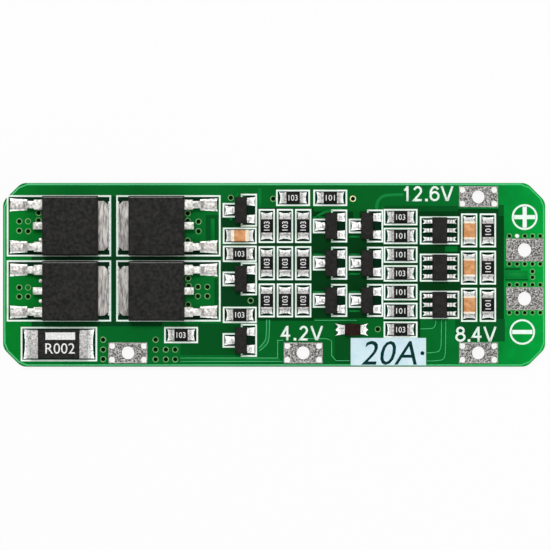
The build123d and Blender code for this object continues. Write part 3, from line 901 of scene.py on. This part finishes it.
# %% Copy the pads to their places
for pad in pads:
    x, y, _ = spot(pad)
    master = output_master if "output" in pad else tap_master
    install(copy_to(master, pad.replace("pad_", "tinned_"), x, y), "tinned_pad", pad)
discard(tap_master, output_master)
print(len(pads), "pads")

# %% [markdown]
# ## Power transistors
# The black body is moulded in two halves that lean in from the seam, and the leads are stamped from
# sheet. These forms are already right in the frame, so each piece starts as a copy of its node. The
# copy is loose triangles, so its points are merged and its flat faces dissolved first, and then the
# edges are rounded: crisp on the moulding, and a little more on the stamped metal.

# %% Dress a copy of a node
def dressed(node, name, width, material, segments=2, angle=35):
    """A copy of a node with whole faces and softened edges."""
    take(frame["nodes"][node])
    bpy.ops.object.duplicate()
    piece = bpy.context.object
    piece.parent = None
    for key in [k for k in piece.keys() if k.startswith("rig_")]:
        del piece[key]
    bpy.ops.object.mode_set(mode="EDIT")
    bpy.ops.mesh.select_all(action="SELECT")
    bpy.ops.mesh.remove_doubles(threshold=0.001 * MM)
    bpy.ops.mesh.dissolve_limited(angle_limit=math.radians(1))
    bpy.ops.object.mode_set(mode="OBJECT")
    settle(piece, name, material)
    return soften(piece, width, segments, angle)


def repaint(piece, material, test):
    """Gives a second finish to the faces whose middle (in mm) and normal pass a test."""
    piece.data.materials.append(material)
    index = len(piece.data.materials) - 1
    for face in piece.data.polygons:
        if test(face.center / MM, face.normal):
            face.material_index = index
    return piece


FOOT_START = 4.9
for part in power_sets:
    x, _, side = power_spot(part)
    body = dressed(part + "_body", part + "_moulding", 0.08, black_mould)
    # Painted highlight: the rounded top edges that face +Y, toward the key lamp, get the lighter finish.
    repaint(body, mould_painted_highlight, lambda middle, normal: 0.25 < normal.z < 0.97 and normal.y > 0.2)
    install(body, "black_moulding", part + "_body")
    leads = dressed(part + "_leads", part + "_stamping", 0.04, tin_arm)
    repaint(leads, tin_tab, lambda middle, normal: (middle.x - x) * side > 0)
    repaint(leads, tin_foot, lambda middle, normal: (x - middle.x) * side > FOOT_START)
    install(leads, "tinned_lead", part + "_leads")
print(len(power_sets), "power transistors, each moulding", len(body.data.polygons), "faces")

# %% Small moulded parts with tinned leads
SMALL_HALF = 0.66
MONITOR_HALF = 0.81
for part in small_parts + monitors:
    x = spot(part)[0]
    half = MONITOR_HALF if part in monitors else SMALL_HALF
    piece = dressed(part, part + "_dressed", 0.03, small_mould)
    repaint(piece, tin_lead, lambda middle, normal: abs(middle.x - x) > half)
    install(piece, "black_moulding", part)
thermistor = dressed("thermistor_chip", "thermistor", 0.04, dark_ceramic)
install(thermistor, "dark_ceramic", "thermistor_chip")
print(len(small_parts) + len(monitors), "small moulded parts")

# %% [markdown]
# ## Chip resistors
# A chip resistor is a bar of white ceramic with a black glass coat on top, a printed code, and a
# tinned cap round each end. They are modelled apart, because each has its own finish, and joined into
# a master for each code, which is copied to its places. The code reads along the chip.

# %% Lettering
TEXT_HALF = 0.1


def lettering(name, words, centre, size, level, thickness, material, slant=0.0):
    """Raised letters that fill a size round a centre, in millimetres."""
    let_go()
    bpy.ops.object.text_add()
    text = bpy.context.object
    text.data.body = words
    text.data.shear = slant
    text.data.extrude = TEXT_HALF
    text.data.resolution_u = 3
    bpy.ops.object.convert(target="MESH")
    text = bpy.context.object
    xs = [v.co.x for v in text.data.vertices]
    ys = [v.co.y for v in text.data.vertices]
    wide, high = size[0] * MM / (max(xs) - min(xs)), size[1] * MM / (max(ys) - min(ys))
    text.scale = (wide, high, thickness * MM / (2 * TEXT_HALF))
    text.location = (centre[0] * MM - (min(xs) + max(xs)) / 2 * wide,
                     centre[1] * MM - (min(ys) + max(ys)) / 2 * high, (level + thickness / 2) * MM)
    return settle(text, name, material)


print("letters are made meshes before they are placed")

# %% The resistor masters
CHIP = (2.0, 1.25)
CHIP_HEIGHT = 0.5


def end_caps(reach, height, material, width):
    """Two rounded caps that reach so far over the ends of a chip round the origin."""
    size = (reach, CHIP[1], height)
    places = [(side * (CHIP[0] - reach) / 2, 0, PART_FOOT + height / 2) for side in (-1, 1)]
    return [soften(block("cap", place, size, material), width, 3) for place in places]


def resistor_master(code):
    """A chip resistor round the origin, with its length along X."""
    top = PART_FOOT + CHIP_HEIGHT
    bar = soften(block("bar", (0, 0, PART_FOOT + CHIP_HEIGHT / 2), (1.9, 1.2, 0.44), alumina), 0.03)
    coat = soften(block("coat", (0, 0, top - 0.04), (1.46, 1.24, 0.07), resistor_coat), 0.02)
    digits = lettering("digits", code, (0, 0), (0.98, 0.62), top - 0.009, 0.01, code_ink)
    return join("resistor_" + code, bar, coat, *end_caps(0.3, CHIP_HEIGHT, tin_cap, 0.06), digits)


resistor_kinds = {code: resistor_master(code) for code in ("103", "101")}
print("resistor", len(resistor_kinds["103"].data.polygons), "faces")

# %% Copy the resistors
LOW_VALUES = ["top_resistor_2", "filter_resistor_1", "filter_resistor_2", "filter_resistor_3",
              "feed_resistor_2", "feed_resistor_3", "feed_resistor_5", "feed_resistor_6"]
for node in resistors:
    chosen = resistor_kinds["101" if node in LOW_VALUES else "103"]
    install(copy_to(chosen, node + "_chip", *spot(node)), "resistor_coat", node)
discard(*resistor_kinds.values())
print(len(resistors), "resistors")

# %% [markdown]
# ## Chip capacitors
# These are taller bars of brown ceramic. Their caps are dipped on, so they end in a thin cream edge
# where the glaze stops, and the bar itself has softly rounded edges.

# %% The capacitor masters, copied
CAPACITOR_HEIGHT = 0.85


def capacitor_master(name, dip):
    """A capacitor round the origin, whose dipped ends reach this far over the ceramic."""
    bar = soften(block("bar", (0, 0, PART_FOOT + 0.42), (1.9, 1.22, 0.79), ceramic_brown), 0.08, 3)
    return join(name, bar, *end_caps(dip, CAPACITOR_HEIGHT, cream_end, 0.09))


cell_master = capacitor_master("cell_master", 0.27)
sense_master = capacitor_master("sense_master", 0.42)
for node in capacitors:
    chosen = sense_master if node.startswith("sense") else cell_master
    install(copy_to(chosen, node + "_chip", *spot(node)), "capacitor_ceramic", node)
discard(cell_master, sense_master)
print(len(capacitors), "capacitors")

# %% [markdown]
# ## The shunt
# The current flows through this wide strip. It has a black coat with a white window and its value, and
# its ends are wrapped in dull, brushed terminals.

# %% The shunt's coat and terminals
SHUNT = spot("shunt_body")
SHUNT_HEIGHT = 0.75
shunt_top = PART_FOOT + SHUNT_HEIGHT
shunt_middle = (*SHUNT[:2], PART_FOOT + SHUNT_HEIGHT / 2)
coat = soften(block("coat", shunt_middle, (6.14, 3.1, 0.6), black_mould), 0.04)
face = soften(block("face", shunt_middle, (4.5, 3.1, SHUNT_HEIGHT), black_mould), 0.06)
window_at = (SHUNT[0] + 0.18, SHUNT[1] + 0.88, shunt_top)
window = soften(block("window", window_at, (3.22, 0.8, 0.02), code_ink), 0.008)
value_at = (SHUNT[0] + 0.16, SHUNT[1] - 0.46)
value = lettering("value", "R002", value_at, (3.2, 1.14), shunt_top - 0.005, 0.015, code_ink)
install(join("shunt_strip", coat, face, window, value), "black_moulding", "shunt_body")
wraps = dressed("shunt_terminals", "shunt_wraps", 0.04, tin_cap)
install(wraps, "tinned_lead", "shunt_terminals")
print("shunt at", SHUNT)

# %% [markdown]
# ## Solder
# Melted solder wets the pad right to its corners and is drawn up the end of the part, so a joint is
# hollow along its slope and along its outer edge. A flat grid is pulled into that shape, its border is
# pushed down to the laminate and closed underneath, and each kind of joint is copied to its places.

# %% A joint from a grid
def joint_master(name, reach, face_width, toe_width, climb, bay, foot=0.0, star=False):
    """A joint along +X from a part's end, with a width there and at its toe, and a hollow bay."""
    let_go()
    bpy.ops.mesh.primitive_grid_add(x_subdivisions=10, y_subdivisions=10, size=1)
    piece = bpy.context.object
    for point in piece.data.vertices:
        out, side = point.co.x + 0.5, point.co.y * 2
        half_width = (face_width + (toe_width - face_width) * out ** 1.6) / 2
        slope = climb * (1 - out) ** 2.2
        ridge = foot * max(0.0, 1 - (side / 0.55) ** 2) * (1 - out ** 3)
        shoulder = 1 - 0.35 * abs(side) ** 3 * (1 - out)
        hollow = math.sin(math.pi * abs(side)) if star else 1 - side ** 2
        point.co.x = (out * reach - bay * hollow * out ** 2) * MM
        point.co.y = side * half_width * MM
        point.co.z = (BOARD_TOP + 0.045 + (slope + ridge) * shoulder) * MM
    bpy.ops.object.mode_set(mode="EDIT")
    bpy.ops.mesh.select_all(action="SELECT")
    bpy.ops.mesh.region_to_loop()
    bpy.ops.mesh.extrude_edges_move()
    bpy.ops.transform.resize(value=(1, 1, 0), center_override=(0, 0, BOARD_TOP * MM))
    bpy.ops.mesh.edge_face_add()
    bpy.ops.mesh.select_all(action="SELECT")
    bpy.ops.mesh.normals_make_consistent(inside=False)
    bpy.ops.object.mode_set(mode="OBJECT")
    settle(piece, name, solder_bright)
    bpy.ops.object.shade_smooth_by_angle(angle=math.radians(50))
    return piece


joint_shapes = {
    "chip": (0.53, 1.12, 1.26, 0.36, 0.13),
    "capacitor": (0.56, 1.14, 1.28, 0.6, 0.14),
    "thermistor": (0.92, 0.95, 1.36, 0.45, 0.26, 0.0, True),
    "star": (1.14, 0.95, 1.36, 0.45, 0.34, 0.0, True),
    "shunt": (0.72, 3.1, 3.2, 0.55, 0.16),
    "single": (1.08, 0.78, 1.06, 0.06, 0.14, 0.07),
    "twin": (0.86, 0.82, 0.96, 0.06, 0.08, 0.07),
    "monitor": (0.47, 0.4, 0.5, 0.12, 0.2, 0.05),
    "power": (1.9, 1.2, 1.42, 0.1, 0.12, 0.12),
    "tab": (0.16, 5.3, 5.4, 0.25, 0.02),
}
masters = {kind: joint_master(kind + "_joint", *shape) for kind, shape in joint_shapes.items()}
print(len(masters), "kinds of joint")

# %% Copy the joints to both ends of every chip
def joints_at(kind, place, reach, sides=(1, -1), across=(0.0,)):
    """Copies a joint to the ends of a part: so far from its middle, on these sides, at these offsets."""
    x, y, turn = place
    along, over = math.cos(math.radians(turn)), math.sin(math.radians(turn))
    return [copy_to(masters[kind], "joint", x + side * reach * along - offset * over,
                    y + side * reach * over + offset * along, turn + (0 if side > 0 else 180))
            for side in sides for offset in across]


CHIP_END = CHIP[0] / 2 - 0.02
THERMISTOR_END = 0.78
SHUNT_END = 3.13
joints = []
for node in resistors + capacitors:
    joints += joints_at("capacitor" if node in capacitors else "chip", spot(node), CHIP_END)
joints += joints_at("thermistor", spot("thermistor_chip"), THERMISTOR_END, (1,))
joints += joints_at("star", spot("thermistor_chip"), THERMISTOR_END, (-1,))
joints += joints_at("shunt", SHUNT, SHUNT_END)
print(len(joints), "joints at chip ends")

# %% Copy the joints to the leads
SMALL_PITCH = 0.95
POWER_PITCH = 2.29
SMALL_END = 0.7
MONITOR_END = 1.4
POWER_LEAD_START = 4.72
TAB_END = 4.09
for node in small_parts:
    place = (*spot(node)[:2], 0)
    joints += joints_at("single", place, SMALL_END, (-1,))
    joints += joints_at("twin", place, SMALL_END, (1,), (-SMALL_PITCH, SMALL_PITCH))
for node in monitors:
    place = (*spot(node)[:2], 0)
    joints += joints_at("monitor", place, MONITOR_END, across=(-SMALL_PITCH, 0.0, SMALL_PITCH))
for part in power_sets:
    x, y, side = power_spot(part)
    place = (x, y, 0 if side > 0 else 180)
    joints += joints_at("power", place, POWER_LEAD_START, (-1,), (-POWER_PITCH, POWER_PITCH))
    joints += joints_at("tab", place, TAB_END, (1,))
solder = join("solder", *joints)
install(solder, "solder", "solder_joints")
discard(*masters.values())
print("solder", len(solder.data.polygons), "faces")

# %% [markdown]
# ## Print
# The frames round the parts are in the frame's own node, which only needs its ink. The ratings, the
# polarity signs and the short ends of the brackets are printed with the same ink, and are added here.

# %% Ink on the printed frames
frames_node = frame["nodes"]["legend_print"]
frames_node.data.materials.clear()
frames_node.data.materials.append(white_ink)
print("frames inked")

# %% [markdown]
# The three cell voltages are printed in plain round-cornered strokes, all of one width. Each letter is
# given as lines in a square that is one high and one wide, and the square is stretched over the
# letter's own place on the board.

# %% Stroke letters
PRINT = 0.02
STROKE = 0.24
INK_LEVEL = BOARD_TOP + 0.011


def arc(centre, reach, first, last, steps=12):
    """Points on an ellipse, from one angle to another in degrees."""
    angles = [math.radians(first + (last - first) * step / steps) for step in range(steps + 1)]
    return [(centre[0] + reach[0] * math.cos(a), centre[1] + reach[1] * math.sin(a)) for a in angles]


strokes = {
    "1": [[(0.9, -0.08), (0.9, 1.08)], [(0.0, 0.74), (0.5, 0.84), (0.8, 0.99)]],
    "2": [arc((0.48, 0.72), (0.45, 0.28), 168, -38) + [(0.02, 0.0), (1.05, 0.0)]],
    "4": [[(0.72, -0.08), (0.72, 1.08)], [(0.66, 1.0), (0.0, 0.3), (1.1, 0.3)]],
    "6": [arc((0.5, 0.31), (0.5, 0.31), 0, 360, 20), arc((0.52, 0.5), (0.52, 0.5), 38, 185)],
    "8": [arc((0.5, 0.77), (0.4, 0.23), 0, 360, 20), arc((0.5, 0.27), (0.5, 0.27), 0, 360, 20)],
    "V": [[(0.0, 1.07), (0.44, 0.02), (0.56, 0.02), (1.0, 1.07)]],
}


def stroke_word(name, letters, bottom, top):
    """Letters printed between two heights; each comes with its left and right edge, in millimetres."""
    made = []
    low, high = bottom + STROKE / 2, top - STROKE / 2
    for letter, left, right in letters:
        start, end = left + STROKE / 2, right - STROKE / 2
        if letter == ".":
            made.append(patch("dot", left, bottom, right, bottom + right - left, INK_LEVEL, white_ink))
            continue
        for order, line in enumerate(strokes[letter]):
            points = [(start + x * (end - start), low + y * (high - low)) for x, y in line]
            made.append(ribbon("stroke", points, STROKE, INK_LEVEL + 0.002 * order, white_ink))
    return install(join(name, *made), "white_print")


low_word = [("4", 0.71, 1.78), (".", 2.12, 2.4), ("2", 2.7, 3.73), ("V", 3.92, 5.33)]
middle_word = [("8", 19.7, 20.83), (".", 21.06, 21.34), ("4", 21.48, 22.6), ("V", 22.75, 24.2)]
high_word = [("1", 14.04, 14.66), ("2", 15.1, 16.15), (".", 16.43, 16.71), ("6", 16.9, 18.01),
             ("V", 18.11, 19.52)]
stroke_word("rating_low", low_word, -7.15, -5.54)
stroke_word("rating_middle", middle_word, -7.29, -5.63)
stroke_word("rating_high", high_word, 8.0, 9.66)
print("three cell voltages")

# %% The rating block and its letters
PANEL = (8.325, -9.855, 16.525, -6.87)
panel = install(patch("rating_panel", *PANEL, BOARD_TOP + PRINT + 0.002, pale_ink), "white_print")
foot = BOARD_TOP + PRINT + 0.006
letters = lettering("rating_letters", "20A", (12.5, -8.5), (6.05, 2.62), foot, 0.01, dark_ink, slant=0.22)
dot = drum("dot", (16.13, -8.53), 0.22, foot, foot + 0.01, dark_ink, 20)
install(join("rating_letters", letters, dot), "white_print")
print("rating panel", [round(v / MM, 2) for v in panel.dimensions])

# %% Polarity signs
def ring_sign(centre, outer, line):
    """A printed ring round a centre."""
    ring = drum("ring", centre, outer, BOARD_TOP - 0.002, BOARD_TOP + PRINT, white_ink, 48)
    return cut(ring, drum("hole", centre, outer - line, *PIERCE, white_ink, 48))


plus, minus = (27.26, 6.28), (27.0, -6.22)
PLUS_SPAN, MINUS_SPAN, BAR = 2.3, 2.2, 0.45
signs = [ring_sign(plus, 1.4, 0.2), ring_sign(minus, 1.38, 0.2)]
level = BOARD_TOP + PRINT / 2
cross = block("bar", (*plus, level), (PLUS_SPAN, BAR, PRINT), white_ink)
signs.append(unite(cross, block("bar", (*plus, level), (BAR, PLUS_SPAN, PRINT), white_ink)))
signs.append(block("bar", (*minus, level), (MINUS_SPAN, BAR, PRINT), white_ink))
install(join("polarity_signs", *signs), "white_print")
print("two signs")

# %% Short ends of the brackets
TICK = (0.18, 0.24, PRINT)
TICK_REACH = 1.56
ticks = []
for node in small_parts:
    x, y, _ = spot(node)
    places = [(x + TICK[0] / 2, y + side * TICK_REACH, level) for side in (1, -1)]
    ticks += [block("tick", place, TICK, white_ink) for place in places]
install(join("bracket_ends", *ticks), "white_print")
print(len(ticks), "bracket ends")

# %% [markdown]
# ## Finish
# The size of the finished board's box is printed.

# %% Write the sizes and finish
low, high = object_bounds()
print("board", [round((b - a) / MM, 2) for a, b in zip(low, high)])
bpy.context.scene.view_settings.view_transform = "Standard"
